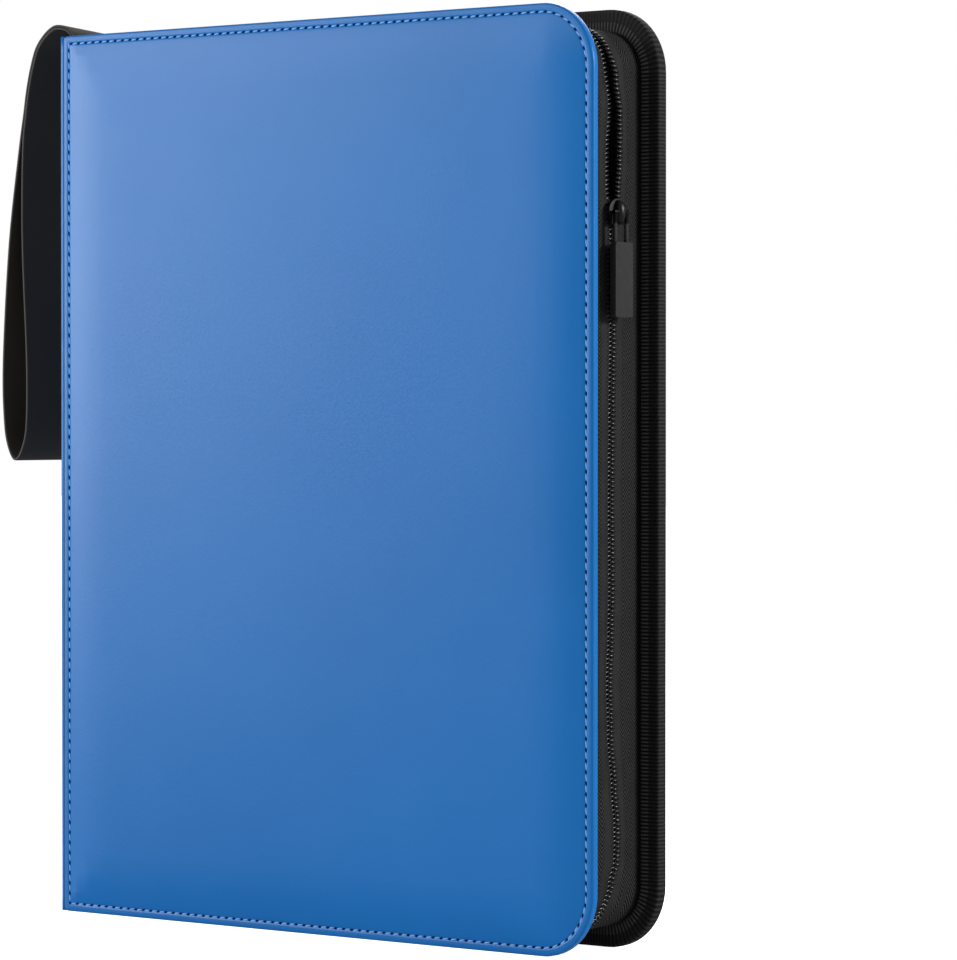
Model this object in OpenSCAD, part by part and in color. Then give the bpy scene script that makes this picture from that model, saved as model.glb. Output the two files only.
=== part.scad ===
// Zip-round card binder: two padded leather covers on a thin spine, twenty nine-pocket
// leaves, a nylon coil zip with slider and pull, and a wrist strap sewn into the spine.
// Upright frame: +Z up, +X from the spine to the fore edge, -Y is the front cover.
// The origin is the middle of the foot of the spine.

/* [Overall size] */
// height of the closed case
case_h = 345; // [322:2:400]
// width of the closed case, spine face to fore edge
case_w = 269; // [258:1:330]
// thickness of the closed case over both covers
case_t = 46; // [38:0.5:60]
// radius of the two fore-edge corners of each cover
corner_r = 24; // [18:1:32]

/* [Covers and spine] */
// leather skin
skin_t = 0.8; // [0.6:0.1:1.0]
// foam under the leather
foam_t = 1.5; // [1.0:0.1:2.0]
// stiff board of each cover
board_t = 2.0; // [1.5:0.1:2.5]
// cloth lining of each cover
lining_t = 0.5; // [0.4:0.1:0.7]
// board of the spine
spine_board_t = 1.7; // [1.7:0.1:2.0]
// outer radius of the fold between spine and cover
crease_r = 2.0; // [1.8:0.1:2.4]
// ribbed binding tape
binding_t = 0.6; // [0.4:0.1:0.8]

/* [Zip] */
// how far the zip wall stands in from the cover edge
zip_inset = 8; // [6.8:0.2:10]
// woven tape
tape_t = 0.6; // [0.5:0.1:0.8]
// width of one coil row
coil_w = 2.5; // [2.2:0.1:2.8]
// thickness of one coil row
coil_t = 2.4; // [2.0:0.1:2.6]
// start of the zip, measured from the spine face
zip_start = 14; // [12:1:24]

/* [Slider and pull] */
// height of the slider above the foot, at rest
slider_z = 269.7; // [200:0.1:285]
// width of the slider plates
slider_w = 9.7; // [9.4:0.1:10.4]
// length of the slider plates
slider_l = 9.3; // [9:0.1:10.5]
// width of the pull tab
tab_w = 10.1; // [9:0.1:12]
// length of the pull tab
tab_l = 27.2; // [20:0.2:34]
// thickness of the pull tab
tab_t = 2.7; // [2.4:0.1:3.0]

/* [Leaves] */
// width of a leaf, from its hinge line
leaf_w = 234; // [225:1:240]
// height of a leaf
leaf_h = 300; // [292:1:304]
// width of one card pocket
pocket_w = 68; // [64:0.5:70]
// height of one card pocket
pocket_h = 93; // [90:0.5:94]
// thickness of a leaf with empty pockets
leaf_t = 0.6; // [0.5:0.05:0.7]

/* [Wrist strap] */
// width of the strap
strap_w = 27; // [20:0.5:32]
// thickness of one layer of the strap
strap_t = 0.8; // [0.6:0.1:0.8]
// drop of the hanging loop below the top of the case
strap_drop = 167; // [130:1:200]

/* [Hidden] */
$fn = 72;
cover_t = skin_t + foam_t + board_t + lining_t;
spine_lining_t = 0.5;
spine_t = skin_t + spine_board_t + spine_lining_t;
x_out = -spine_t / 2;
x_fore = x_out + case_w;
y_face = case_t / 2;
y_in = y_face - cover_t;
gap = 0.3;
fit = 0.05;
// hinge lines of the covers, and where the panels start beside them
hinge_x = x_out + crease_r;
hinge_y = y_face - crease_r;
panel_x = x_out + spine_t + gap;
spine_y = hinge_y;
// raised strip the leaves are fixed to
hump_base = 2.4;
hump_rise = 4;
hump_half = y_in - 1.2;
hump_r = (hump_half * hump_half + hump_rise * hump_rise) / (2 * hump_rise);
hump_top = x_out + spine_t + hump_base + hump_rise;
leaf_pitch = (2 * y_in - 1.4) / 20;
leaf_z = (case_h - leaf_h) / 2;
leaf_core = leaf_t - 0.2;
pocket_gap = 2.5;
// zip line
tape_x = x_fore - zip_inset;
coil_gap = 1.6;
coil_y = coil_gap / 2;
tape_y = coil_y + coil_w;
wall_y = y_in - binding_t;
coil_in = zip_inset + tape_t / 2 - coil_t / 2;
coil_x = tape_x - tape_t / 2;
stop_w = 2;
stop_l = 2.9;
stop_lip = 0.4;
// slider, measured from the middle of the coil
plate_t = 1.1;
slot_in = coil_x - coil_t / 2 - gap;
slot_out = coil_x + coil_t / 2 + 0.8;
pin_r = 0.8;
pin_x = slot_out + plate_t + 1.4;
post_w = 1;
post_l = 2.8;
post_z = 1.4;
rail_w = 0.9;
rail_l = 4.8;
rail_z = -3.8;
rail_in = 0.7;
crown_w = 3.2;
crown_l = 6.4;
crown_wall = 0.9;
leg_y = 3.3;
tab_drop = 11;
// strap, measured from the top of the spine
strap_y = -15;
strap_x = x_out + skin_t + spine_board_t / 2;
anchor_l = 12;

// panel outline in X and Z, square at the spine and rounded at the fore edge
module outline(inset, start) {
  r = corner_r - inset;
  x1 = x_fore - inset;
  translate([start, inset])
    square([x1 - r - start, case_h - 2 * inset]);
  translate([x1 - r - 1, inset + r])
    square([r + 1, case_h - 2 * inset - 2 * r]);
  translate([x1 - r, inset + r])
    circle(r);
  translate([x1 - r, case_h - inset - r])
    circle(r);
}

// slab of that outline from y0 to y1
module slab(inset, start, y0, y1) {
  translate([0, y1, 0])
    rotate([90, 0, 0])
      linear_extrude(y1 - y0)
        outline(inset, start);
}

// wall that runs round three sides, open towards the spine
module wall(out_in, thick, start, y0, y1) {
  translate([0, y1, 0])
    rotate([90, 0, 0])
      linear_extrude(y1 - y0)
        difference() {
          outline(out_in, start);
          outline(out_in + thick, start - 5);
        }
}

// ---- spine ----

// leather of the spine, turned over the two ends and the two long sides
module spine_skin() {
  color([0.20, 0.42, 0.68])
    difference() {
      translate([x_out, -spine_y, 0])
        cube([skin_t + spine_board_t, 2 * spine_y, case_h]);
      translate([x_out + skin_t, -spine_y + skin_t, skin_t])
        cube([spine_board_t + 1, 2 * spine_y - 2 * skin_t, case_h - 2 * skin_t]);
      // slit the strap comes up through
      translate([x_out + skin_t, strap_y - gap, case_h - 2])
        cube([spine_board_t + 1, strap_w + 2 * gap, 4]);
    }
}

// board of the spine, notched for the sewn end of the strap
module spine_board() {
  color([0.55, 0.52, 0.48])
    difference() {
      translate([x_out + skin_t, -spine_y + skin_t + fit, skin_t + fit])
        cube([spine_board_t, 2 * (spine_y - skin_t - fit), case_h - 2 * (skin_t + fit)]);
      translate([x_out, strap_y - gap, case_h - anchor_l - gap])
        cube([spine_t, strap_w + 2 * gap, anchor_l + 2]);
    }
}

// cloth on the inside of the spine
module spine_lining() {
  color([0.10, 0.10, 0.11])
    translate([x_out + skin_t + spine_board_t, -spine_y + gap, gap])
      cube([spine_lining_t, 2 * (spine_y - gap), case_h - 2 * gap]);
}

// humped strip glued to the spine; the leaves are fixed along it
module page_strip() {
  color([0.08, 0.08, 0.09])
    translate([0, 0, leaf_z])
      linear_extrude(leaf_h) {
        translate([x_out + spine_t, -hump_half])
          square([hump_base, 2 * hump_half]);
        intersection() {
          translate([hump_top - hump_r, 0])
            circle(hump_r, $fn = 360);
          translate([x_out + spine_t + 0.5, -hump_half])
            square([hump_base + hump_rise + 1, 2 * hump_half]);
        }
      }
}

// both ends of the strap, sewn flat between the leather and the board
module strap_anchor() {
  color([0.13, 0.13, 0.14])
    translate([strap_x - strap_t, strap_y, case_h - anchor_l])
      cube([2 * strap_t, strap_w, anchor_l]);
}

// quarter-round fold of leather from the spine to the start of the front cover
module fold() {
  translate([hinge_x, -hinge_y, 0])
    linear_extrude(case_h)
      difference() {
        union() {
          intersection() {
            circle(crease_r);
            translate([-crease_r, -crease_r])
              square(crease_r);
          }
          translate([0, -crease_r])
            square([spine_t - crease_r, skin_t]);
        }
        circle(crease_r - skin_t);
      }
}

module front_crease() {
  color([0.18, 0.40, 0.66])
    fold();
}

module back_crease() {
  color([0.18, 0.40, 0.66])
    mirror([0, 1, 0])
      fold();
}

// ---- front cover ----

// padded leather, turned over the edge of the board all round
module front_skin() {
  color([0.20, 0.42, 0.68])
    difference() {
      slab(0, panel_x, -y_face, -y_in);
      slab(skin_t, panel_x + skin_t, -y_face + skin_t, -y_in + 1);
    }
}

// thin foam that gives the cover its soft crown
module front_foam() {
  color([0.86, 0.84, 0.78])
    slab(skin_t + fit, panel_x + skin_t + fit, -y_face + skin_t, -y_face + skin_t + foam_t);
}

module front_board() {
  color([0.55, 0.52, 0.48])
    slab(skin_t + fit, panel_x + skin_t + fit, -y_in - lining_t - board_t, -y_in - lining_t);
}

module front_lining() {
  color([0.10, 0.10, 0.11])
    slab(skin_t + fit, panel_x + skin_t + fit, -y_in - lining_t, -y_in);
}

// ribbed tape laid flat round the inside edge, under the zip tape
module front_binding() {
  color([0.07, 0.07, 0.08])
    wall(skin_t, zip_inset + tape_t - skin_t, panel_x + 2, -y_in, -wall_y);
}

// woven half of the zip: a wall standing on the inside of the cover
module front_tape() {
  color([0.09, 0.09, 0.10])
    wall(zip_inset, tape_t, x_out + zip_start, -wall_y, -tape_y);
}

module front_coil() {
  color([0.16, 0.16, 0.17])
    wall(coil_in, coil_t, x_out + zip_start, -tape_y, -coil_y);
}

// moulded stops on the two ends of a coil row
module stops(side) {
  y0 = side > 0 ? tape_y - tape_t : tape_t - tape_y - stop_w;
  for (z = [coil_in - stop_lip, case_h - coil_in - coil_t - stop_lip])
    translate([x_out + zip_start - stop_l - 0.1, y0, z])
      cube([stop_l, stop_w, coil_t + 2 * stop_lip]);
}

module front_stops() {
  color([0.12, 0.12, 0.13])
    stops(-1);
}

// ---- back cover ----

module back_skin() {
  color([0.20, 0.42, 0.68])
    difference() {
      slab(binding_t, panel_x, y_in, y_face);
      slab(binding_t + skin_t, panel_x + skin_t, y_in - 1, y_face - skin_t);
    }
}

module back_foam() {
  color([0.86, 0.84, 0.78])
    slab(binding_t + skin_t + fit, panel_x + skin_t + fit,
         y_face - skin_t - foam_t, y_face - skin_t);
}

module back_board() {
  color([0.55, 0.52, 0.48])
    slab(binding_t + skin_t + fit, panel_x + skin_t + fit,
         y_in + lining_t, y_in + lining_t + board_t);
}

module back_lining() {
  color([0.10, 0.10, 0.11])
    slab(binding_t + skin_t + fit, panel_x + skin_t + fit, y_in, y_in + lining_t);
}

// ribbed tape folded over the edge of the cover and laid flat inside it
module back_binding() {
  color([0.07, 0.07, 0.08]) {
    wall(0, zip_inset + tape_t, panel_x + 2, wall_y, y_in);
    wall(0, binding_t, panel_x + 2, wall_y, y_face - 0.6);
  }
}

module back_tape() {
  color([0.09, 0.09, 0.10])
    wall(zip_inset, tape_t, x_out + zip_start, tape_y, wall_y);
}

module back_coil() {
  color([0.16, 0.16, 0.17])
    wall(coil_in, coil_t, x_out + zip_start, coil_y, tape_y);
}

module back_stops() {
  color([0.12, 0.12, 0.13])
    stops(1);
}

// ---- slider and pull ----

// outline of a slider plate in Y and Z: round nose up, blunt tail down
module plate() {
  circle(slider_w / 2);
  translate([-slider_w / 2 + 0.6, slider_w / 2 - slider_l])
    square([slider_w - 1.2, slider_l - slider_w / 2]);
}

// two plates on a post, a rail behind the back coil and a crown for the pull
module slider_body() {
  color([0.14, 0.14, 0.15])
    translate([0, 0, slider_z]) {
      for (x = [slot_in - plate_t, slot_out])
        translate([x, 0, 0])
          rotate([90, 0, 90])
            linear_extrude(plate_t)
              plate();
      translate([slot_in - 0.1, -post_w / 2, post_z])
        cube([slot_out - slot_in + 0.2, post_w, post_l]);
      translate([slot_in - 0.1, slider_w / 2 - rail_w - 0.1, rail_z])
        cube([rail_in, rail_w, rail_l]);
      translate([coil_x + 1, slider_w / 2 - rail_w - 0.1, rail_z])
        cube([slot_out - coil_x - 0.9, rail_w, rail_l]);
      difference() {
        translate([slot_out + plate_t - 0.1, -crown_w / 2, -crown_l / 2])
          cube([pin_x + pin_r + crown_wall - slot_out - plate_t + 0.1, crown_w, crown_l]);
        translate([pin_x, crown_w, 0])
          rotate([90, 0, 0])
            cylinder(h = 2 * crown_w, r = pin_r + 0.3);
      }
    }
}

// bent wire through the crown, its two legs running down into the tab
module pull_link() {
  color([0.42, 0.42, 0.43])
    translate([pin_x, 0, slider_z]) {
      translate([0, leg_y + pin_r, 0])
        rotate([90, 0, 0])
          cylinder(h = 2 * (leg_y + pin_r), r = pin_r);
      for (y = [-leg_y, leg_y])
        translate([0, y, -tab_drop - 2.5])
          cylinder(h = tab_drop + 2.5, r = pin_r);
    }
}

// moulded tab
module pull_tab() {
  color([0.24, 0.24, 0.24])
    translate([pin_x + 0.3, 0, slider_z - tab_drop - tab_l])
      difference() {
        rotate([90, 0, 90])
          translate([0, 0, -tab_t / 2])
            linear_extrude(tab_t)
              tab_face();
        for (y = [-leg_y, leg_y])
          translate([-0.3, y, tab_l - 3])
            cylinder(h = 4, r = pin_r + fit);
      }
}

module tab_face() {
  translate([-tab_w / 2 + 1.2, 0])
    square([tab_w - 2.4, tab_l]);
  translate([-tab_w / 2, 1.2])
    square([tab_w, tab_l - 2.4]);
  for (y = [-tab_w / 2 + 1.2, tab_w / 2 - 1.2], z = [1.2, tab_l - 1.2])
    translate([y, z])
      circle(1.2);
}

// ---- wrist strap ----

// points in X and Z from the top corner of the spine: first the stem, where the two
// layers of the strap run together from the seam, then the loop below its throat
stem_line = [
  [1.65, 0.9], [1, 2.3], [-1.5, 4.1], [-5.2, 5], [-9, 4.7], [-13.7, 1.8],
  [-18, -3.6], [-21, -11.5], [-23.1, -20], [-24.6, -29]
];
loop_line = [
  [-27.8, -44], [-33, -80], [-36, -125], [-35.3, -150], [-33, -160.5], [-29.3, -165.2],
  [-25.3, -160.5], [-22.9, -150], [-22.9, -125], [-25.6, -80], [-25.7, -44]
];

// points of a smooth curve through a list, n to each stretch
function near(p, i) = p[max(0, min(len(p) - 1, i))];
function blend(a, b, c, d, t) = b + t / 2 * (c - a + t * (2 * a - 5 * b + 4 * c - d
  + t * (3 * b - a - 3 * c + d)));
function curve(p, n) = concat(
  [for (i = [0:len(p) - 2], j = [0:n - 1])
    blend(near(p, i - 1), p[i], p[i + 1], near(p, i + 2), j / n)],
  [p[len(p) - 1]]
);

// a line lengthened below the top of the case, one moved sideways by d, one turned round
function drop(p) = [for (q = p) [q[0], q[1] < 0 ? q[1] * strap_drop / 167 : q[1]]];
function heading(p, i) = near(p, i + 1) - near(p, i - 1);
function beside(p, d) = [for (i = [0:len(p) - 1])
  p[i] + d * [-heading(p, i)[1], heading(p, i)[0]] / norm(heading(p, i))];
function reverse(p) = [for (i = [len(p) - 1:-1:0]) p[i]];

// hanging loop of soft strap; the two layers run together down to its throat
module strap_loop() {
  stem = drop(stem_line);
  layer = strap_t / 2 + 0.12;
  line = curve(concat(beside(stem, -layer), drop(loop_line), reverse(beside(stem, layer))), 5);
  color([0.13, 0.13, 0.14])
    translate([x_out, strap_y + strap_w, case_h])
      rotate([90, 0, 0])
        linear_extrude(strap_w)
          polygon(concat(beside(line, strap_t / 2), reverse(beside(line, -strap_t / 2))));
}

// ---- leaves ----

function leaf_y(i) = (i - 10.5) * leaf_pitch;
function leaf_x(i) = hump_top - hump_r + sqrt(hump_r * hump_r - leaf_y(i) * leaf_y(i))
  + gap + leaf_t / 2;

// one leaf: a backing sheet with nine film pockets welded on each side
module leaf(i) {
  seam_x = leaf_w - 3 * (pocket_w + pocket_gap);
  seam_z = (leaf_h - 3 * pocket_h) / 4;
  color([0.16, 0.16, 0.18])
    translate([leaf_x(i), leaf_y(i), leaf_z]) {
      linear_extrude(leaf_h) {
        circle(leaf_t / 2, $fn = 24);
        translate([0, -leaf_core / 2])
          square([leaf_w, leaf_core]);
      }
      for (c = [0:2], r = [0:2])
        translate([seam_x + c * (pocket_w + pocket_gap), -leaf_t / 2, seam_z + r * (pocket_h + seam_z)])
          cube([pocket_w, leaf_t, pocket_h]);
    }
}

spine_skin();
spine_board();
spine_lining();
page_strip();
strap_anchor();
front_crease();
back_crease();
front_skin();
front_foam();
front_board();
front_lining();
front_binding();
front_tape();
front_coil();
front_stops();
back_skin();
back_foam();
back_board();
back_lining();
back_binding();
back_tape();
back_coil();
back_stops();
slider_body();
pull_link();
pull_tab();
strap_loop();
leaf(1);  // leaf_01
leaf(2);  // leaf_02
leaf(3);  // leaf_03
leaf(4);  // leaf_04
leaf(5);  // leaf_05
leaf(6);  // leaf_06
leaf(7);  // leaf_07
leaf(8);  // leaf_08
leaf(9);  // leaf_09
leaf(10);  // leaf_10
leaf(11);  // leaf_11
leaf(12);  // leaf_12
leaf(13);  // leaf_13
leaf(14);  // leaf_14
leaf(15);  // leaf_15
leaf(16);  // leaf_16
leaf(17);  // leaf_17
leaf(18);  // leaf_18
leaf(19);  // leaf_19
leaf(20);  // leaf_20
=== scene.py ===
import math

import bmesh
import bpy
from mathutils import Matrix, Vector, noise


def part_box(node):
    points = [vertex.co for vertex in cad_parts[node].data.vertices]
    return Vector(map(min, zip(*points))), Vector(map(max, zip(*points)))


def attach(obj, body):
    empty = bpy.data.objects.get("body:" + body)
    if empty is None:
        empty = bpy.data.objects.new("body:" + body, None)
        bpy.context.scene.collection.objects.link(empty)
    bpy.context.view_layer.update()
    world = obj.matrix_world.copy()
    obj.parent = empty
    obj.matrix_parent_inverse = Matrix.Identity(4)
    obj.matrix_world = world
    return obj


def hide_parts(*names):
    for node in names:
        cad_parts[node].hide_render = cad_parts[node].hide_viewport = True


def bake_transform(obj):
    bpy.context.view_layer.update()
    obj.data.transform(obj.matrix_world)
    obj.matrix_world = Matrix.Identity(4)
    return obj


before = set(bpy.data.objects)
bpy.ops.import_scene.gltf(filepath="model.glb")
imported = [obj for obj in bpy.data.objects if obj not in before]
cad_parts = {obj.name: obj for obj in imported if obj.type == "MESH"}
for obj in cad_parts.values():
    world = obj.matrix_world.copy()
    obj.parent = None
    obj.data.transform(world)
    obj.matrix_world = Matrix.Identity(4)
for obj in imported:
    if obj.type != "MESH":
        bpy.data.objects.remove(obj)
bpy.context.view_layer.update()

scene = bpy.context.scene
scene.view_settings.view_transform = "Standard"
MM = 0.001

# ---- Camera ----
# A long lens, level with the upper part of the case and turned 40 degrees round towards the
# fore edge, so that the front cover and the zip both show.
turn = 0.695
dip = 0.016
across = Vector((math.cos(turn), math.sin(turn), 0))
ahead = Vector((-math.sin(turn) * math.cos(dip), math.cos(turn) * math.cos(dip), -math.sin(dip)))
upward = across.cross(ahead)
aim = Vector((0.133, -0.023, 0.1725))
shift_right = 0.063588
shift_down = 0.000939
stand_off = 1.78
camera = bpy.data.objects.new("camera", bpy.data.cameras.new("camera"))
scene.collection.objects.link(camera)
camera.data.lens = 177.4
camera.data.sensor_width = 36
camera.data.clip_end = 20
camera.matrix_world = Matrix((across, upward, -ahead)).transposed().to_4x4()
camera.location = aim + shift_right * across - shift_down * upward - stand_off * ahead
scene.camera = camera

# ---- Studio ----
# White surroundings, weaker as light than they look. A low key light stands at the left of the
# front, a weaker one high in front, a small one shines on the fore edge, and one is behind.
world = bpy.data.worlds.new("studio")
scene.world = world
world.use_nodes = True
tree = world.node_tree
sky = tree.nodes["Background"]
rays = tree.nodes.new("ShaderNodeLightPath")
seen = tree.nodes.new("ShaderNodeMix")
seen.data_type = "FLOAT"
seen.inputs["A"].default_value = 0.38
seen.inputs["B"].default_value = 1.0
tree.links.new(rays.outputs["Is Camera Ray"], seen.inputs["Factor"])
tree.links.new(seen.outputs["Result"], sky.inputs["Strength"])
sky.inputs["Color"].default_value = (1, 1, 1, 1)


def soft_light(name, place, aim_at, wide, high, watts):
    """A rectangular area light that faces a point."""
    light = bpy.data.lights.new(name, "AREA")
    light.shape = "RECTANGLE"
    light.size = wide
    light.size_y = high
    light.energy = watts
    lamp = bpy.data.objects.new(name, light)
    scene.collection.objects.link(lamp)
    lamp.location = place
    lamp.rotation_mode = "QUATERNION"
    lamp.rotation_quaternion = (Vector(aim_at) - Vector(place)).to_track_quat("-Z", "Y")
    return lamp


def from_way(azimuth, elevation, distance):
    """A place seen from the middle of the case; azimuth 0 is in front and 90 at the fore edge."""
    a = math.radians(azimuth)
    e = math.radians(elevation)
    return Vector((case_middle[0] + distance * math.sin(a) * math.cos(e),
                   -distance * math.cos(a) * math.cos(e), case_middle[2] + distance * math.sin(e)))


case_middle = (0.13, 0, 0.17)
soft_light("key_light", from_way(-57, 12, 2.2), case_middle, 1.25, 1.15, 40)
soft_light("front_light", from_way(-25, 30, 4.0), case_middle, 1.5, 1.5, 36)
soft_light("edge_light", from_way(112, 20, 2.2), case_middle, 0.4, 0.4, 46)
soft_light("rear_light", from_way(-160, 30, 2.4), case_middle, 1.4, 1.2, 26)

# ---- Finishes: how a material and its nodes are put together ----


def new_finish(name, colour, roughness, **sockets):
    """A material with one Principled shader; colour is linear."""
    finish = bpy.data.materials.new(name)
    finish.use_nodes = True
    shader = finish.node_tree.nodes["Principled BSDF"]
    shader.inputs["Base Color"].default_value = (*colour, 1)
    shader.inputs["Roughness"].default_value = roughness
    for socket, value in sockets.items():
        shader.inputs[socket.replace("_", " ")].default_value = value
    finish.diffuse_color = (*colour, 1)
    return finish


def add(finish, kind, inputs=(), **settings):
    """A node; inputs is a dict of socket name or number to a value or another node's output."""
    node = finish.node_tree.nodes.new("ShaderNode" + kind)
    for setting, value in settings.items():
        setattr(node, setting, value)
    for socket, value in dict(inputs).items():
        if isinstance(value, bpy.types.NodeSocket):
            finish.node_tree.links.new(value, node.inputs[socket])
        else:
            node.inputs[socket].default_value = value
    return node


def calc(finish, operation, a, b=0.0, c=0.0):
    """A Math node's output."""
    return add(finish, "Math", {0: a, 1: b, 2: c}, operation=operation).outputs[0]


def set_socket(finish, socket, output):
    """Feeds a socket of the finish's shader."""
    shader = finish.node_tree.nodes["Principled BSDF"]
    finish.node_tree.links.new(output, shader.inputs[socket])


def colours_between(finish, factor, low, high, start=0.3, end=0.7):
    """Base colour that goes from low to high as factor goes from start to end."""
    ramp = add(finish, "ValToRGB", {"Fac": factor})
    ramp.color_ramp.elements[0].position = start
    ramp.color_ramp.elements[0].color = (*low, 1)
    ramp.color_ramp.elements[1].position = end
    ramp.color_ramp.elements[1].color = (*high, 1)
    set_socket(finish, "Base Color", ramp.outputs["Color"])


def raise_bumps(finish, height, depth, strength=1.0):
    """Bumps from a height output; depth is in metres."""
    bump = add(finish, "Bump", {"Height": height, "Distance": depth, "Strength": strength})
    set_socket(finish, "Normal", bump.outputs["Normal"])


def object_place(finish):
    """Texture places in the object's own metres."""
    return add(finish, "TexCoord").outputs["Object"]


def noise_at(finish, scale, detail=2.0, place=None):
    """A noise output from 0 to 1, on object places unless others are given."""
    place = place or object_place(finish)
    return add(finish, "TexNoise", {"Vector": place, "Scale": scale, "Detail": detail}).outputs["Fac"]


def new_piece(name, bm, finishes, smooth_angle=40):
    """The object of a finished bmesh, shaded smooth up to an angle in degrees."""
    bm.normal_update()
    mesh = bpy.data.meshes.new(name)
    bm.to_mesh(mesh)
    bm.free()
    for finish in finishes:
        mesh.materials.append(finish)
    mesh.shade_smooth()
    mesh.set_sharp_from_angle(angle=math.radians(smooth_angle))
    obj = bpy.data.objects.new(name, mesh)
    scene.collection.objects.link(obj)
    return obj


def dress(node, finish):
    """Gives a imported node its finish."""
    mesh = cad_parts[node].data
    mesh.materials.clear()
    mesh.materials.append(finish)


# ---- Front cover: padded leather ----
# Smooth blue coated leather over thin foam and a stiff board. It is turned over the edge of the
# board all round and sewn down 3 mm in, so the pad falls to the seam in a soft shoulder.
leather = new_finish("blue_leather", (0.001, 0.112, 0.365), 0.38, Specular_IOR_Level=0.2)
place = object_place(leather)
tone = noise_at(leather, 9, 3, place)
colours_between(leather, tone, (0.0006, 0.108, 0.348), (0.0012, 0.118, 0.376))
pebble = add(leather, "TexVoronoi", {"Vector": place, "Scale": 1100}, feature="SMOOTH_F1")
fine = noise_at(leather, 2600, 4, place)
grain = calc(leather, "MULTIPLY_ADD", fine, 0.5, pebble.outputs["Distance"])
raise_bumps(leather, grain, 0.00005, 0.45)
worn = calc(leather, "MULTIPLY_ADD", noise_at(leather, 35, 5, place), 0.08, 0.29)
set_socket(leather, "Roughness", worn)

corner_r = 24 * MM
end_r = 2.2 * MM
leather_t = 0.6 * MM
seam_in = 3.2 * MM
grid_step = 8 * MM
# how far the leather lies below the crown of the pad, by distance in from the cover's edge, in mm
pad_section = [
    (0, 3.0), (0.12, 2.55), (0.35, 2.3), (0.7, 2.14), (1.2, 2.08), (2.2, 2.06), (2.7, 2.10),
    (3.0, 2.32), (3.4, 2.34), (3.7, 2.12), (4.2, 1.99), (5.2, 1.80), (7.4, 1.44), (10, 1.05),
    (13, 0.68), (17, 0.36), (22, 0.14), (28, 0.03), (36, 0.0),
]


def eased(keys, at):
    """Value at a place between two keys, easing out of one and into the next."""
    if at <= keys[0][0]:
        return keys[0][1]
    for (a, low), (b, high) in zip(keys, keys[1:]):
        if at <= b:
            t = (at - a) / (b - a)
            return low + (high - low) * t * t * (3 - 2 * t)
    return keys[-1][1]


def straight(keys, at):
    """Value at a place between two keys on straight lines."""
    if at <= keys[0][0]:
        return keys[0][1]
    for (a, low), (b, high) in zip(keys, keys[1:]):
        if at <= b:
            return low + (high - low) * (at - a) / (b - a)
    return keys[-1][1]


def rounded_end(near, far, radius):
    """Moves a point near a square corner on to a round one; near and far are its two insets."""
    a = 1 - near / radius
    b = 1 - far / radius
    if a <= 0 or b <= 0:
        return near, far
    return (radius * (1 - a * math.sqrt(1 - b * b / 2)), radius * (1 - b * math.sqrt(1 - a * a / 2)))


class Cover:
    """The outline of one cover in X and Z: square at the spine, rounded at the fore edge.

    low and high are the corners of its skin's box, outward is -1 for the front and 1 for the back,
    and puff is how strongly the cover is padded.
    """

    def __init__(self, low, high, corner, outward, puff):
        self.puff = puff
        self.hinge_side = low.x
        self.left = low.x - 0.9 * MM
        self.right = high.x
        self.foot = low.z
        self.head = high.z
        self.corner = corner
        self.outward = outward
        self.face = low.y if outward < 0 else high.y
        self.inside = high.y if outward < 0 else low.y

    def inset_of(self, x, z):
        """How far in from the outline a point lies."""
        centre_x = self.right - self.corner
        for centre_z, beyond in ((self.foot + self.corner, z < self.foot + self.corner),
                                 (self.head - self.corner, z > self.head - self.corner)):
            if x > centre_x and beyond:
                return self.corner - math.hypot(x - centre_x, z - centre_z)
        return min(x - self.left, self.right - x, z - self.foot, self.head - z)

    def seam(self, inset, pitch):
        """Points at even steps round the outline, with the angle of the run at each."""
        r = self.corner - inset
        x0 = self.left + inset
        x1 = self.right - self.corner
        z0 = self.foot + self.corner
        z1 = self.head - self.corner
        low = self.foot + inset
        high = self.head - inset
        arc = math.pi / 2 * r
        runs = [x1 - x0, arc, z1 - z0, arc, x1 - x0, high - low]
        total = sum(runs)
        count = round(total / pitch)
        for i in range(count):
            s = (i + 0.5) * total / count
            leg = 0
            while s > runs[leg]:
                s -= runs[leg]
                leg += 1
            if leg == 0:
                yield x0 + s, low, 0
            elif leg == 1:
                yield x1 + r * math.sin(s / r), z0 - r * math.cos(s / r), s / r
            elif leg == 2:
                yield self.right - inset, z0 + s, math.pi / 2
            elif leg == 3:
                yield x1 + r * math.cos(s / r), z1 + r * math.sin(s / r), math.pi / 2 + s / r
            elif leg == 4:
                yield x1 - s, high, math.pi
            else:
                yield x0, high - s, -math.pi / 2


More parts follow.
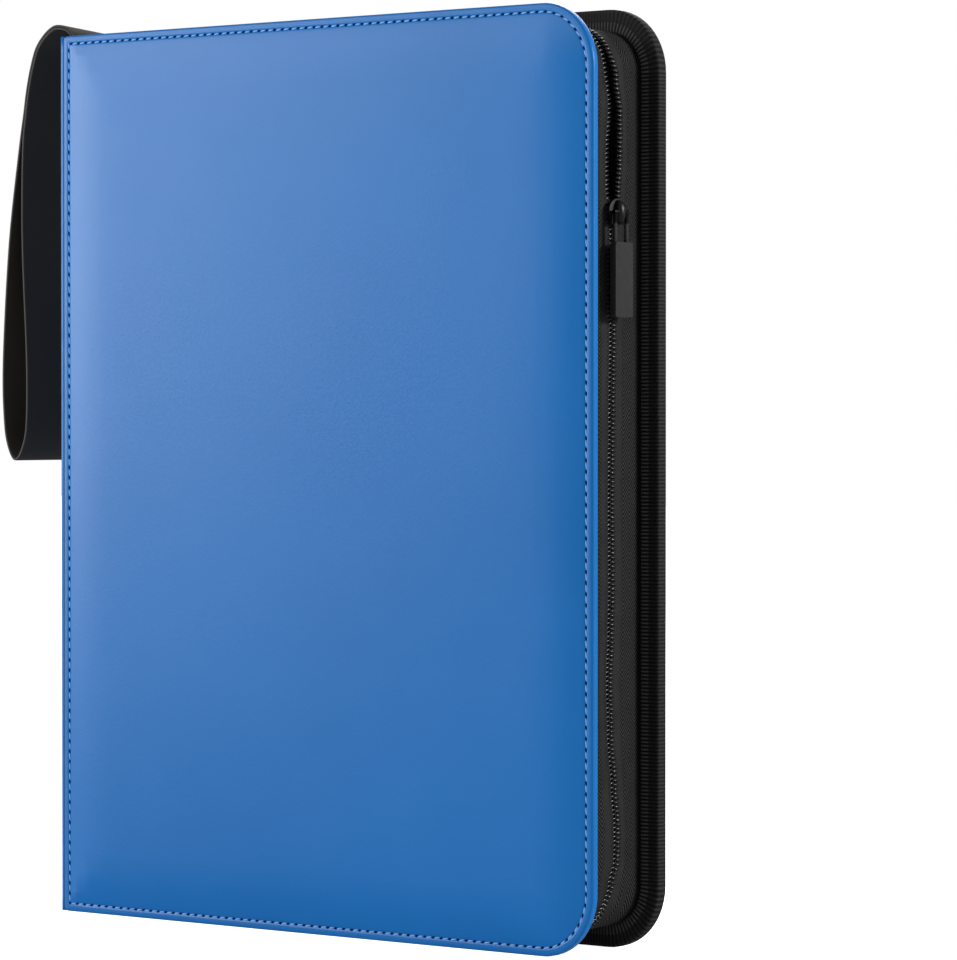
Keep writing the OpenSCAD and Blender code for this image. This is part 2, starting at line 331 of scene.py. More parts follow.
def padded_leather(cover):
    """The leather of a cover: rings of faces round the outline, then a grid over the middle."""
    bm = bmesh.new()
    spots = ((cover.left, cover.foot), (cover.right, cover.foot),
             (cover.right, cover.head), (cover.left, cover.head))
    corners = [bm.verts.new((x, 0, z)) for x, z in spots]
    bm.faces.new(corners)
    bmesh.ops.bevel(bm, geom=corners[1:3], offset=cover.corner, offset_type="OFFSET", segments=20,
                    profile=0.5, affect="VERTICES", material=-1)
    face = bm.faces[:][0]
    rings = [inset for inset, _ in pad_section if inset * MM < cover.corner - 0.4 * MM]
    for here, after in zip(rings, rings[1:]):
        bmesh.ops.inset_region(bm, faces=[face], thickness=(after - here) * MM, depth=0,
                               use_boundary=True, use_even_offset=True)
    cuts = [(Vector((cover.left + grid_step * i, 0, 0)), Vector((1, 0, 0))) for i in range(1, 33)]
    cuts += [(Vector((0, 0, cover.foot + grid_step * i)), Vector((0, 0, 1))) for i in range(1, 43)]
    for part in (0.25, 0.5, 0.75, 1):
        cuts.append((Vector((cover.left + part * end_r, 0, 0)), Vector((1, 0, 0))))
        cuts.append((Vector((0, 0, cover.foot + part * end_r)), Vector((0, 0, 1))))
        cuts.append((Vector((0, 0, cover.head - part * end_r)), Vector((0, 0, 1))))
    for point, normal in cuts:
        bmesh.ops.bisect_plane(bm, geom=bm.verts[:] + bm.edges[:] + bm.faces[:], dist=1e-7,
                               plane_co=point, plane_no=normal)
    edge = [e for e in bm.edges if e.is_boundary]
    for v in bm.verts:
        inset = cover.inset_of(v.co.x, v.co.z)
        sunk = straight(pad_section, inset / MM) * cover.puff * MM
        soft = noise.noise(Vector((v.co.x * 14, cover.outward * 3, v.co.z * 14)))
        sunk += 0.09 * MM * (1 + soft) * min(1, max(0, inset / MM - 5) / 12)
        v.co.y = cover.face - cover.outward * sunk
    depth = abs(cover.inside - cover.face)
    # the turned edge: four loops down the side; all but the first stop at the hinge side
    for share in (0.68, 0.76, 0.88, 1.0):
        made = bmesh.ops.extrude_edge_only(bm, edges=edge)["geom"]
        edge = [e for e in made if isinstance(e, bmesh.types.BMEdge) and e.is_boundary]
        for v in {v for e in edge for v in e.verts}:
            v.co.y = cover.face - cover.outward * depth * share
            if share > 0.7:
                v.co.x = max(v.co.x, cover.hinge_side)
    for v in bm.verts:
        near = v.co.x - cover.left
        for level, way in ((cover.foot, 1), (cover.head, -1)):
            far = (v.co.z - level) * way
            if near < end_r and far < end_r:
                near, far = rounded_end(max(near, 0), max(far, 0), end_r)
                v.co.x = cover.left + near
                v.co.z = level + way * far
    bmesh.ops.recalc_face_normals(bm, faces=bm.faces[:])
    return bm


def thicken(obj, thickness, offset=-1.0):
    """Gives a surface its thickness: inwards by default, or on both sides with offset 0."""
    wall = obj.modifiers.new("thickness", "SOLIDIFY")
    wall.thickness = thickness
    wall.offset = offset
    wall.use_even_offset = True


front = Cover(*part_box("front_skin"), corner_r, -1, 1.0)
front_leather = new_piece("front_leather", padded_leather(front), [leather], 60)
thicken(front_leather, leather_t)
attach(front_leather, "front_cover")
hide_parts("front_skin")

# ---- Seam round each cover ----
# Light blue polyester thread in a lockstitch, four millimetres a stitch, pulled down into the
# leather; at each end of a stitch a dark blob of painted shade stands for the needle hole.
thread = new_finish("blue_thread", (0.06, 0.23, 0.58), 0.6, Specular_IOR_Level=0.3)
twist = add(thread, "TexWave", {"Vector": object_place(thread), "Scale": 900, "Distortion": 1.0},
            bands_direction="DIAGONAL")
colours_between(thread, twist.outputs["Fac"], (0.08, 0.26, 0.62), (0.15, 0.36, 0.76), 0.2, 0.8)
raise_bumps(thread, twist.outputs["Fac"], 0.00008, 0.6)
# painted shade: a darker copy of the leather's blue stands for the needle holes
painted_hole_shade = new_finish("painted_hole_shade", (0.0002, 0.012, 0.07), 0.95, Specular_IOR_Level=0.02)
colours_between(painted_hole_shade, noise_at(painted_hole_shade, 800), (0.0001, 0.009, 0.05), (0.0003, 0.018, 0.09))
stitch_pitch = 4 * MM


def seam_stitches(cover, sunk):
    """Every stitch of a seam and a dark blob of painted shade for the hole beside it, as small
    round-ended shapes.
    """
    out = cover.outward
    on_end = Matrix.Rotation(math.pi / 2, 4, "Y")
    pair = bmesh.new()
    stitch = Matrix.Rotation(out * math.radians(8), 4, "Y") @ Matrix.Diagonal(
        (2.8 * MM, 0.46 * MM, 0.72 * MM, 1))
    bmesh.ops.create_uvsphere(pair, u_segments=6, v_segments=5, radius=0.5, matrix=stitch @ on_end)
    # the hole is a flat dark blob of painted shade sitting in the leather
    hole = Matrix.Translation((stitch_pitch / 2, -out * 0.02 * MM, 0)) @ Matrix.Rotation(
        out * math.radians(30), 4, "Y") @ Matrix.Diagonal((1.7 * MM, 0.4 * MM, 1.2 * MM, 1))
    made = bmesh.ops.create_uvsphere(pair, u_segments=6, v_segments=4, radius=0.5,
                                     matrix=hole @ on_end)
    for face in {f for v in made["verts"] for f in v.link_faces}:
        face.material_index = 1
    pair.verts.index_update()
    bm = bmesh.new()
    for x, z, angle in cover.seam(seam_in, stitch_pitch):
        run = Matrix.Translation((x, cover.face - out * sunk, z)) @ Matrix.Rotation(-angle, 4, "Y")
        verts = [bm.verts.new(run @ v.co) for v in pair.verts]
        for shape in pair.faces:
            face = bm.faces.new([verts[v.index] for v in shape.verts])
            face.material_index = shape.material_index
    pair.free()
    return bm


front_seam = new_piece("front_seam", seam_stitches(front, 2.22 * MM), [thread, painted_hole_shade], 60)
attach(front_seam, "front_cover")

# ---- Back cover: padded leather ----
# Cut a little smaller than the front, because its edge is covered by the ribbed binding, and
# padded less. Its seam is sewn with the same thread.
back = Cover(*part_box("back_skin"), corner_r - 0.6 * MM, 1, 0.68)
back_leather = new_piece("back_leather", padded_leather(back), [leather], 60)
thicken(back_leather, leather_t)
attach(back_leather, "back_cover")
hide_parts("back_skin")
back_seam = new_piece("back_seam", seam_stitches(back, 1.51 * MM), [thread, painted_hole_shade], 60)
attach(back_seam, "back_cover")

# ---- Spine leather and the two folds ----
# One strip of the same leather runs round the spine board, and at each long side it bends into
# the cover. The folds are soft.
strip_gap = 0.15 * MM
strip_steps = 60


def leather_strip(cross_section):
    """A strip of leather as high as the case, from points of (x, y) across it in mm."""
    bm = bmesh.new()
    verts = [bm.verts.new((x * MM, y * MM, strip_gap)) for x, y in cross_section]
    strip = [bm.edges.new(pair) for pair in zip(verts, verts[1:])]
    rise = (front.head - 2 * strip_gap) / strip_steps
    bmesh.ops.spin(bm, geom=strip, cent=(0, 0, 0), axis=(0, 0, 1), dvec=(0, 0, rise), angle=0,
                   steps=strip_steps, use_merge=False)
    bmesh.ops.remove_doubles(bm, verts=bm.verts[:], dist=1e-6)
    bmesh.ops.recalc_face_normals(bm, faces=bm.faces[:])
    if sum(f.normal.x for f in bm.faces) > 0:
        bmesh.ops.reverse_faces(bm, faces=bm.faces[:])
    return bm


half = [(-0.98, 20.1), (-1.2, 19.7), (-1.38, 18.8), (-1.47, 17.0), (-1.5, 13.0), (-1.5, 6.5)]
section = [(x, -y) for x, y in half] + [(-1.5, 0)] + half[::-1]
bm = leather_strip(section)
# the strip is a little uneven, most of all in the middle
for v in bm.verts:
    v.co.x += 0.07 * MM * noise.noise(v.co * 26) * (1 - abs(v.co.y) / (20.2 * MM))
spine_leather = new_piece("spine_leather", bm, [leather], 60)
thicken(spine_leather, 0.75 * MM)
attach(spine_leather, "spine")
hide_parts("spine_skin")
fold_line = [(-1.16, 19.8), (-1.0, 20.0), (-0.6, 20.22), (-0.1, 20.32), (0.5, 20.25), (1.1, 20.05),
             (1.9, 19.8)]
for side, name in ((-1, "front"), (1, "back")):
    bm = leather_strip([(x, side * y) for x, y in fold_line])
    fold = new_piece(name + "_fold", bm, [leather], 60)
    thicken(fold, leather_t)
    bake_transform(fold)
    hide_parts(name + "_crease")

# ---- Boards, foam and linings ----
# Grey board stiffens the covers and the spine, cream foam lies between it and the leather, and
# black cloth is glued to the inside.
greyboard = new_finish("greyboard", (0.27, 0.24, 0.20), 0.9)
colours_between(greyboard, noise_at(greyboard, 260, 6), (0.22, 0.20, 0.165), (0.32, 0.29, 0.24))
raise_bumps(greyboard, noise_at(greyboard, 900, 3), 0.0001, 0.5)
foam = new_finish("foam", (0.72, 0.68, 0.55), 0.95)
cells = add(foam, "TexVoronoi", {"Vector": object_place(foam), "Scale": 1400})
colours_between(foam, cells.outputs["Distance"], (0.60, 0.55, 0.42), (0.76, 0.72, 0.60))
raise_bumps(foam, cells.outputs["Distance"], 0.0003, 0.7)


def weave(finish, thread_mm, depth):
    """Plain weave on object places: warp one way, weft the other, each over and under."""
    place = object_place(finish)
    split = add(finish, "SeparateXYZ", {"Vector": place})
    turns = 2 * math.pi / (2 * thread_mm * MM)
    warp = calc(finish, "SINE", calc(finish, "MULTIPLY", split.outputs["Z"], turns))
    run = calc(finish, "ADD", split.outputs["X"], split.outputs["Y"])
    weft = calc(finish, "SINE", calc(finish, "MULTIPLY", run, turns))
    over = calc(finish, "MULTIPLY_ADD", calc(finish, "MULTIPLY", warp, weft), 0.5, 0.5)
    raise_bumps(finish, over, depth, 0.8)
    return over


lining = new_finish("black_cloth", (0.012, 0.012, 0.013), 0.85, Sheen_Weight=0.15)
colours_between(lining, weave(lining, 0.45, 0.0001), (0.008, 0.008, 0.009), (0.024, 0.024, 0.026))
low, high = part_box("spine_board")
stiffener_w = 38.4 * MM
bm = bmesh.new()
bmesh.ops.create_cube(bm, size=1, matrix=Matrix.Translation((low + high) / 2) @ Matrix.Diagonal(
    (high.x - low.x, stiffener_w, high.z - low.z - 0.4 * MM, 1)))
stiffener = new_piece("spine_stiffener", bm, [greyboard])
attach(stiffener, "spine")
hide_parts("spine_board")
# each layer: its inset from the cover's edge, its level above the lining and its thickness, in mm
layers = (("board", 6.5, 0.35, 2.2, greyboard), ("foam", 12.5, 2.55, 0.72, foam))
for cover, name in ((front, "front"), (back, "back")):
    for kind, reach_mm, base, thick, finish in layers:
        bm = bmesh.new()
        low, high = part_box(f"{name}_{kind}")
        reach = reach_mm * MM
        right = cover.right - reach
        head = cover.head - reach
        spots = ((low.x + reach / 2, reach), (right, reach), (right, head), (low.x + reach / 2, head))
        level = cover.inside + cover.outward * base * MM
        corners = [bm.verts.new((x, level, z)) for x, z in spots]
        bm.faces.new(corners)
        bmesh.ops.bevel(bm, geom=corners[1:3], offset=cover.corner - reach, offset_type="OFFSET",
                        segments=16, profile=0.5, affect="VERTICES", material=-1)
        made = bmesh.ops.extrude_face_region(bm, geom=bm.faces[:])["geom"]
        bmesh.ops.translate(bm, verts=[v for v in made if isinstance(v, bmesh.types.BMVert)],
                            vec=(0, cover.outward * thick * MM, 0))
        bmesh.ops.recalc_face_normals(bm, faces=bm.faces[:])
        pad = new_piece(f"{name}_{kind}_layer", bm, [finish])
        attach(pad, name + "_cover")
        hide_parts(f"{name}_{kind}")
for node in ("spine_lining", "front_lining", "back_lining", "page_strip"):
    dress(node, lining)

# ---- Zip line: the way round the open sides ----
# The zip runs along the foot, up the fore edge and back along the head. Its pieces are swept
# along that line and then eased off it, because woven tape never lies quite straight.
zip_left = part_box("front_tape")[0].x
case_right = front.right
case_head = front.head
bottom_run = case_right - corner_r - zip_left
side_run = case_head - 2 * corner_r
bend_run = (corner_r - 8 * MM) * math.pi / 2


def sweep(section, start, steps):
    """Carries a section, points of (inset, y), along the foot, fore edge and head."""
    bm = bmesh.new()
    verts = [bm.verts.new((start, y, inset)) for inset, y in section]
    strip = [bm.edges.new(pair) for pair in zip(verts, verts[1:])]
    reach = case_right - corner_r - start
    legs = [(Vector((reach, 0, 0)), steps[0], None),
            (None, steps[1], Vector((case_right - corner_r, 0, corner_r))),
            (Vector((0, 0, side_run)), steps[2], None),
            (None, steps[1], Vector((case_right - corner_r, 0, case_head - corner_r))),
            (Vector((-reach, 0, 0)), steps[0], None)]
    for travel, count, centre in legs:
        if centre is not None:
            made = bmesh.ops.spin(bm, geom=strip, cent=centre, axis=(0, -1, 0),
                                  angle=math.pi / 2, steps=count)["geom_last"]
            strip = [e for e in made if isinstance(e, bmesh.types.BMEdge)]
            continue
        made = bmesh.ops.spin(bm, geom=strip, cent=(0, 0, 0), axis=(0, 0, 1), angle=0,
                              dvec=travel / count, steps=count)["geom_last"]
        strip = [e for e in made if isinstance(e, bmesh.types.BMEdge)]
    bmesh.ops.remove_doubles(bm, verts=bm.verts[:], dist=1e-6)
    bmesh.ops.recalc_face_normals(bm, faces=bm.faces[:])
    return bm


def height_along(x, z):
    """Place along the zip line as a height: z on the fore edge, running on past both corners."""
    centre_x = case_right - corner_r
    if x >= centre_x and corner_r <= z <= case_head - corner_r:
        return z
    if x > centre_x:
        centre_z = corner_r if z < corner_r else case_head - corner_r
        angle = math.atan2(abs(z - centre_z), x - centre_x)
        away = angle / (math.pi / 2) * bend_run
        return corner_r - away if z < corner_r else case_head - corner_r + away
    away = bend_run + centre_x - x
    return corner_r - away if z < case_head / 2 else case_head - corner_r + away


def inset_along(x, z):
    """Distance in from the outline of the case, on its three open sides."""
    centre_x = case_right - corner_r
    if x >= centre_x and z < corner_r:
        return corner_r - math.hypot(x - centre_x, z - corner_r)
    if x >= centre_x and z > case_head - corner_r:
        return corner_r - math.hypot(x - centre_x, z - case_head + corner_r)
    if x >= centre_x:
        return case_right - x
    return min(z, case_head - z)


def give_run_uv(bm, across_of):
    """UV map in metres: u along the zip line, v across the tape."""
    layer = bm.loops.layers.uv.new("run")
    for face in bm.faces:
        for loop in face.loops:
            co = loop.vert.co
            loop[layer].uv = (height_along(co.x, co.z), across_of(co))


# where the zip lies in y, by height up the fore edge, in mm: one line as far as the slider, which
# joins the rows at 262 mm, and then two rows that part
closed_line = [
    (-240, 0), (-45, 0), (-10, -2.9), (10, -4.1), (18, -3.3), (26, -0.7), (34, 2.3), (46, 2.5),
    (60, 0.9), (80, -1.3), (100, -2.0), (115, -1.2), (136, -0.7), (165, -1.0), (201, -0.6),
    (225, -0.1), (262, 0),
]
row_offset = 1.3
front_row = [(h, y - row_offset) for h, y in closed_line] + [
    (270, -2.2), (277, -3.6), (290, -3.7), (308, -2.3), (324, -5.0), (345, -5.6), (390, -3.8),
    (560, -2.4),
]
back_row = [(h, y + row_offset) for h, y in closed_line] + [
    (270, 2.4), (277, 3.8), (290, 4.8), (306, 4.8), (318, 2.6), (328, 0.2), (345, -0.8), (390, 1.4),
    (560, 2.4),
]

# ---- Zip tapes ----
# Woven polyester tape in two halves, plain beside the coil and herringbone towards the binding,
# sewn to the inside of each cover so that it stands up between them.
tape_cloth = new_finish("zip_tape", (0.009, 0.009, 0.009), 0.75, Specular_IOR_Level=0.15)
uv = add(tape_cloth, "UVMap", uv_map="run").outputs["UV"]
uv_parts = add(tape_cloth, "SeparateXYZ", {"Vector": uv})
run_u = uv_parts.outputs["X"]
run_v = uv_parts.outputs["Y"]
fold_v = calc(tape_cloth, "PINGPONG", calc(tape_cloth, "ADD", run_v, 0.0001), 0.0029)
slant = calc(tape_cloth, "MULTIPLY_ADD", fold_v, 1.6, run_u)
twill = calc(tape_cloth, "POWER", calc(tape_cloth, "MULTIPLY_ADD", calc(
    tape_cloth, "SINE", calc(tape_cloth, "MULTIPLY", slant, 2 * math.pi / 0.0016)), 0.5, 0.5), 1.3)
fine_u = calc(tape_cloth, "SINE", calc(tape_cloth, "MULTIPLY", run_u, 2 * math.pi / 0.0006))
fine_v = calc(tape_cloth, "SINE", calc(tape_cloth, "MULTIPLY", run_v, 2 * math.pi / 0.0006))
plain = calc(tape_cloth, "MULTIPLY_ADD", calc(tape_cloth, "MULTIPLY", fine_u, fine_v), 0.12, 0.44)
outer_part = add(tape_cloth, "MapRange", {"Value": run_v, "From Min": 0.0072, "From Max": 0.0077})
# painted shade: the tape's colour falls to a third next to the cover wall, where the flange shades it
painted_wall_shade = add(tape_cloth, "MapRange", {"Value": run_v, "From Min": 0.0152, "From Max": 0.0160,
                                      "To Min": 1.0, "To Max": 0.35}).outputs["Result"]
cloth = add(tape_cloth, "Mix", {"Factor": outer_part.outputs["Result"], "A": plain, "B": twill},
            data_type="FLOAT").outputs["Result"]
weave_and_painted_shade = calc(tape_cloth, "MULTIPLY", calc(tape_cloth, "MULTIPLY", cloth, painted_wall_shade), calc(
    tape_cloth, "MULTIPLY_ADD", noise_at(tape_cloth, 120, 3), 0.6, 0.7))
colours_between(tape_cloth, weave_and_painted_shade, (0.0005, 0.0005, 0.0005), (0.034, 0.034, 0.0335), 0.12, 0.95)
raise_bumps(tape_cloth, cloth, 0.0004, 1.0)

# the tape's section as (inset, y) in mm, from its inner edge to the cover; it is hollowed a little
inner_y = 3.3
wall_y = 17.6
tape_section = [(8.25, inner_y), (8.12, 4.2), (8.06, 6.0), (8.1, 8.5), (8.2, 11.0), (8.35, 13.5),
                (8.5, 15.8), (8.4, wall_y)]
for side, name, row in ((-1, "front", front_row), (1, "back", back_row)):
    section = [(inset * MM, side * y * MM) for inset, y in tape_section]
    bm = sweep(section, zip_left, (122, 14, 149))
    give_run_uv(bm, lambda co: abs(co.y))
    # the inner edge is moved just past the middle of its coil row, and the rest follows by its share
    for v in bm.verts:
        h = height_along(v.co.x, v.co.z) / MM
        share = (abs(v.co.y) / MM - inner_y) / (wall_y - inner_y)
        beside_row = eased(row, h) - side * 0.2
        v.co.y = (beside_row + (side * wall_y - beside_row) * share) * MM
    bmesh.ops.recalc_face_normals(bm, faces=bm.faces[:])
    tape = new_piece(name + "_zip_tape", bm, [tape_cloth], 70)
    thicken(tape, 0.5 * MM, 0)
    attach(tape, name + "_cover")
    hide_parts(name + "_tape")

# ---- Zip coils ----
# Each row is one nylon monofilament wound in an oval coil and sewn along the tape's edge. The
# two rows are wound opposite ways and half a turn apart, so that they hook into each other.
nylon = new_finish("nylon_coil", (0.020, 0.020, 0.021), 0.30, Specular_IOR_Level=0.6)
colours_between(nylon, noise_at(nylon, 500, 3), (0.006, 0.006, 0.006), (0.012, 0.012, 0.012))
raise_bumps(nylon, noise_at(nylon, 3000, 2), 0.00002, 0.4)
coil_in = case_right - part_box("front_coil")[1].x + 1.2 * MM
coil_pitch = 1.62 * MM
coil_half_w = 1.3 * MM
coil_half_t = 0.85 * MM
steps_a_turn = 10


def zip_point(h):
    """Middle of the coil at a height along the zip line, with its outward direction."""
    centre_x = case_right - corner_r
    r = corner_r - coil_in
    if corner_r <= h <= case_head - corner_r:
        return Vector((case_right - coil_in, 0, h)), Vector((1, 0, 0))
    beyond = corner_r - h if h < corner_r else h - (case_head - corner_r)
    side = -1 if h < corner_r else 1
    centre = Vector((centre_x, 0, corner_r if side < 0 else case_head - corner_r))
    if beyond < bend_run:
        angle = beyond / bend_run * math.pi / 2
        away = Vector((math.cos(angle), 0, side * math.sin(angle)))
        return centre + r * away, away
    away = Vector((0, 0, side))
    return centre + r * away - Vector((beyond - bend_run, 0, 0)), away


low_end = corner_r - bend_run - bottom_run + 1 * MM
high_end = case_head - low_end
for side, name, row in ((-1, "front", front_row), (1, "back", back_row)):
    turns = int((high_end - low_end) / coil_pitch)
    points = []
    for i in range(turns * steps_a_turn + 1):
        h = low_end + coil_pitch * (i / steps_a_turn + (0.5 if side > 0 else 0))
        centre, away = zip_point(h)
        angle = 2 * math.pi * i / steps_a_turn
        y = eased(row, h / MM) * MM + side * coil_half_w * math.cos(angle)
        points.append(centre + away * coil_half_t * math.sin(angle) + Vector((0, y, 0)))
    curve = bpy.data.curves.new(name + "_zip_coil", "CURVE")
    curve.dimensions = "3D"
    curve.bevel_depth = 0.40 * MM
    curve.bevel_resolution = 1
    curve.use_fill_caps = True
    spline = curve.splines.new("POLY")
    spline.points.add(len(points) - 1)
    for i, (spot, point) in enumerate(zip(spline.points, points)):
        spot.co = (*point, 1)
        spot.radius = 0.85 + 0.4 * abs(math.cos(2 * math.pi * i / steps_a_turn)) ** 2
    curve.materials.append(nylon)
    wound = bpy.data.objects.new(name + "_zip_coil", curve)
    scene.collection.objects.link(wound)
    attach(wound, name + "_cover")
    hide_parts(name + "_coil")

# ---- Bindings ----
# Black ribbed tape covers the raw edge where the zip is sewn in. On the back cover it is folded
# over the edge as well. Its ribs stand out most beside the zip, where their colour is raised as
# painted light on a face that lies in shade, and fade over the outer edge.
ribbed = new_finish("ribbed_binding", (0.008, 0.008, 0.008), 0.75, Specular_IOR_Level=0.15)
uv_parts = add(ribbed, "SeparateXYZ", {"Vector": add(ribbed, "UVMap", uv_map="run").outputs["UV"]})
rib_pitch = 1.36 * MM
rib_turns = calc(ribbed, "MULTIPLY", uv_parts.outputs["X"], 2 * math.pi / rib_pitch)
rib_wave = calc(ribbed, "SINE", rib_turns)
rib = calc(ribbed, "POWER", calc(ribbed, "MULTIPLY_ADD", rib_wave, 0.5, 0.5), 1.6)
painted_light_zone = add(ribbed, "ValToRGB", {"Fac": calc(ribbed, "MULTIPLY", uv_parts.outputs["Y"], 70.0)})
painted_light_zone.color_ramp.elements[0].color = (0.12, 0.12, 0.12, 1)
painted_light_zone.color_ramp.elements[1].color = (0.3, 0.3, 0.3, 1)
# how strongly the ribs show, by place across the tape; the high levels beside the zip are painted
# light
for position, level in ((0.03, 1), (0.25, 0.9), (0.29, 0.2), (0.52, 0.2), (0.56, 0.3)):
    stop = painted_light_zone.color_ramp.elements.new(position)
    stop.color = (level, level, level, 1)
ribs_with_painted_light = calc(ribbed, "MULTIPLY", rib, painted_light_zone.outputs["Color"])
weave_with_painted_light = calc(ribbed, "MULTIPLY_ADD", noise_at(ribbed, 1300, 2), 0.28, ribs_with_painted_light)
colours_between(ribbed, weave_with_painted_light, (0.002, 0.002, 0.002), (0.055, 0.055, 0.055), 0.12, 1.1)
raise_bumps(ribbed, weave_with_painted_light, 0.0003, 0.9)

# each binding's closed section as (inset, y) in mm
binding_in = 8.6
sections = {
    "front": [(binding_in, -18.2), (binding_in, -17.7), (8.4, -17.6), (6.5, -17.55), (4.5, -17.6),
              (2.5, -17.6), (1.0, -17.65), (0.8, -17.8), (0.8, -18.2)],
    "back": [(binding_in, 18.2), (binding_in, 17.7), (8.4, 17.6), (7.4, 17.5), (5.6, 17.5),
             (4.4, 17.6), (3.0, 17.6), (1.4, 17.5), (0.5, 17.62), (0.12, 17.95), (0.0, 18.5),
             (0.0, 20.0), (0.02, 21.4), (0.15, 22.1), (0.5, 22.45), (1.2, 22.55), (2.0, 22.45),
             (2.0, 22.1), (1.1, 22.0), (0.6, 21.4), (0.6, 18.6), (1.2, 18.2)],
}
for name, outline in sections.items():
    section = [(inset * MM, y * MM) for inset, y in outline + outline[:1]]
    bm = sweep(section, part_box(name + "_binding")[0].x, (60, 14, 100))
    bmesh.ops.holes_fill(bm, edges=[e for e in bm.edges if e.is_boundary], sides=0)
    bmesh.ops.recalc_face_normals(bm, faces=bm.faces[:])
    give_run_uv(bm, lambda co: binding_in * MM - inset_along(co.x, co.z)
                + max(0, abs(co.y) - 18 * MM))
    tape = new_piece(name + "_ribbed_binding", bm, [ribbed], 50)
    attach(tape, name + "_cover")
    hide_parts(name + "_binding")

# ---- Slider, link and tab ----
# A painted zinc slider clasps both rows; a steel wire link hangs in its crown and carries a soft
# moulded tab.
paint = new_finish("slider_paint", (0.004, 0.004, 0.004), 0.36, Specular_IOR_Level=0.25)
colours_between(paint, noise_at(paint, 300, 4), (0.003, 0.003, 0.003), (0.006, 0.006, 0.006))
raise_bumps(paint, noise_at(paint, 900, 3), 0.00002, 0.4)
wire = new_finish("link_steel", (0.16, 0.16, 0.165), 0.35, Metallic=0.8)
# the link's upper end, under the slider, is coloured near-black as painted shade, and is plain steel
# below
link_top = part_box("pull_link")[1].z
wire_z = add(wire, "SeparateXYZ", {"Vector": object_place(wire)}).outputs["Z"]
below_painted_shade = add(wire, "MapRange", {"Value": wire_z, "From Min": link_top - 4.6 * MM,
                              "From Max": link_top - 5.4 * MM}).outputs["Result"]
dull = calc(wire, "MULTIPLY_ADD", noise_at(wire, 700, 3), 0.4, 0.6)
colours_between(wire, calc(wire, "MULTIPLY", below_painted_shade, dull), (0.004, 0.004, 0.004), (0.07, 0.07, 0.071),
                0, 1)
raise_bumps(wire, noise_at(wire, 2500, 2), 0.00002, 0.4)
rubber = new_finish("tab_rubber", (0.017, 0.017, 0.017), 0.8, Specular_IOR_Level=0.25)
colours_between(rubber, noise_at(rubber, 400, 4), (0.015, 0.015, 0.015), (0.019, 0.019, 0.019))
raise_bumps(rubber, noise_at(rubber, 4000, 2), 0.00003, 0.5)


def softened(node, amount, finish, name, body, segments=3, angle=30, top=None):
    """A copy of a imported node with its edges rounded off, cut off above top in X if given."""
    bm = bmesh.new()
    bm.from_mesh(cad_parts[node].data)
    bmesh.ops.remove_doubles(bm, verts=bm.verts[:], dist=1e-6)
    bmesh.ops.dissolve_limit(bm, angle_limit=math.radians(1), verts=bm.verts[:], edges=bm.edges[:])
    if top is not None:
        bmesh.ops.bisect_plane(bm, geom=bm.verts[:] + bm.edges[:] + bm.faces[:], dist=1e-7,
                               plane_co=(top, 0, 0), plane_no=(1, 0, 0), clear_outer=True)
        bmesh.ops.holes_fill(bm, edges=[e for e in bm.edges if e.is_boundary], sides=0)
    sharp = [e for e in bm.edges if e.is_manifold and e.calc_face_angle(0) > math.radians(angle)]
    bmesh.ops.bevel(bm, geom=sharp, offset=amount, offset_type="OFFSET", segments=segments,
                    profile=0.5, affect="EDGES", material=-1, clamp_overlap=True)
    obj = new_piece(name, bm, [finish], 35)
    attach(obj, body)
    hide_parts(node)
    return obj


slider_low, slider_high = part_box("slider_body")
crown_top = slider_high.x
plate_face = crown_top - 3.1 * MM
softened("slider_body", 0.3 * MM, paint, "slider", "slider",
         top=plate_face - 0.05 * MM)
# the crown: a long glossy dome cast on the outer plate, between the legs of the link
mid_y = (slider_low.y + slider_high.y) / 2
nose_z = slider_high.z - 0.5 * MM
dome_half_w = 2.35 * MM
dome_half_l = 4.4 * MM
bm = bmesh.new()
bmesh.ops.create_uvsphere(bm, u_segments=32, v_segments=20, radius=1)
for v in bm.verts:
    height = v.co.x
    v.co.x = plate_face + (crown_top - plate_face) * max(-0.25, height * (1.12 - 0.12 * height))
    v.co.y = mid_y + dome_half_w * math.copysign(abs(v.co.y) ** 0.85, v.co.y)
    v.co.z = nose_z - dome_half_l + dome_half_l * math.copysign(abs(v.co.z) ** 0.9, v.co.z)
dome = new_piece("crown_dome", bm, [paint], 60)
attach(dome, "slider")
softened("pull_link", 0.1 * MM, wire, "link", "pull", 2, 60)
softened("pull_tab", 0.5 * MM, rubber, "tab", "pull")
softened("front_stops", 0.2 * MM, nylon, "front_end_stops", "front_cover")
softened("back_stops", 0.2 * MM, nylon, "back_end_stops", "back_cover")

# ---- Wrist strap ----
# One length of charcoal coated leather, doubled, its two ends sewn flat into the head of the
# spine. It rises through the slit, turns over the edge and hangs as a long loop.
strap_skin = new_finish("strap_leather", (0.027, 0.024, 0.020), 0.75, Specular_IOR_Level=0.15)
split = add(strap_skin, "SeparateXYZ", {"Vector": object_place(strap_skin)})
from_middle = calc(strap_skin, "ABSOLUTE", calc(strap_skin, "ADD", split.outputs["Y"], 0.0015))
colours_between(strap_skin, calc(strap_skin, "MULTIPLY", from_middle, 50.0),
                (0.027, 0.024, 0.020), (0.05, 0.047, 0.044), 0.655, 0.672)
pores = add(strap_skin, "TexVoronoi", {"Vector": object_place(strap_skin), "Scale": 1500})
raise_bumps(strap_skin, pores.outputs["Distance"], 0.00004, 0.4)
dress("strap_anchor", strap_skin)

